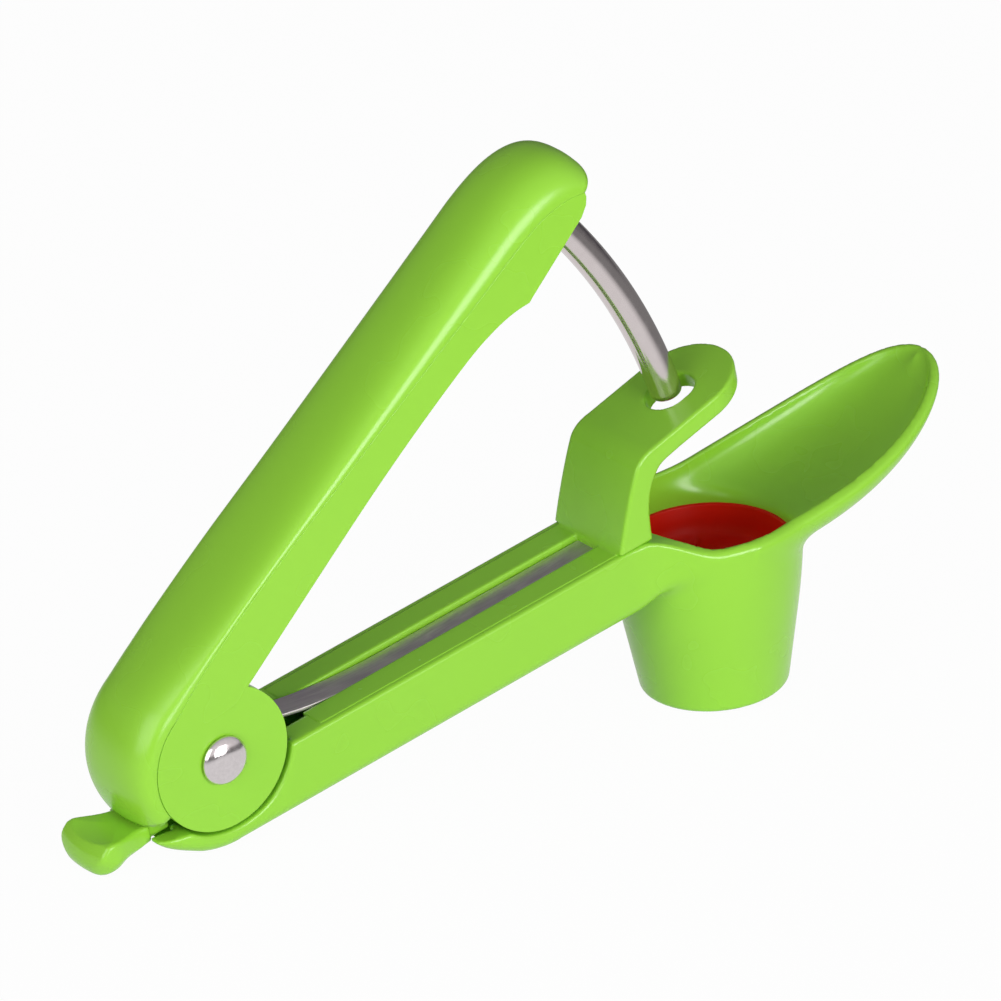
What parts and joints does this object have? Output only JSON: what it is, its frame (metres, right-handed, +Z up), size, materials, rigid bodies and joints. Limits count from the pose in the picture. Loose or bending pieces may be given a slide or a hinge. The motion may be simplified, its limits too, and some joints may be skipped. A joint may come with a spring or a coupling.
{
  "type": "olive and cherry pitter",
  "caption": "Hand-squeezed olive and cherry pitter in lime green plastic, with a curved steel plunger rod, a red seat in its cup, a spoon front and a thumb lock.",
  "frame": {"origin": "middle of the pitter's length and width, on the surface that it stands on", "axes": "+X from the hinge towards the cup and spoon, +Y to the left of the handle, +Z up"},
  "size_m": [0.1954, 0.0384, 0.1202],
  "materials": {
    "lime_plastic": "gloss",
    "red_rubber": "gloss",
    "polished_steel": "polished",
    "spring_steel": "satin"
  },
  "bodies": {
    "base": {"base_arm": "lime_plastic", "guide_bracket": "lime_plastic", "cup_insert": "red_rubber", "hinge_rivet": "polished_steel", "rivet_cap": "polished_steel", "leaf_spring": "spring_steel", "bracket_screw": "spring_steel"},
    "handle": {"handle_frame": "lime_plastic", "handle_cover": "lime_plastic", "plunger_rod": "polished_steel", "rod_pin": "spring_steel"},
    "lock": {"lock_slide": "lime_plastic"}
  },
  "joints": [
    {"name": "handle_hinge", "type": "hinge", "parent": "base", "child": "handle", "pos_m": [-0.07347, 0, 0.02], "axis": [0, 1, 0], "range_deg": [0, 26], "stiffness_Nm_per_rad": 1.2, "springref_deg": -14.32, "deforming": ["leaf_spring"]},
    {"name": "lock_slide_joint", "type": "slide", "parent": "base", "child": "lock", "axis": [0.9694, 0, 0.2456], "range_m": [0, 0.0045]}
  ]
}
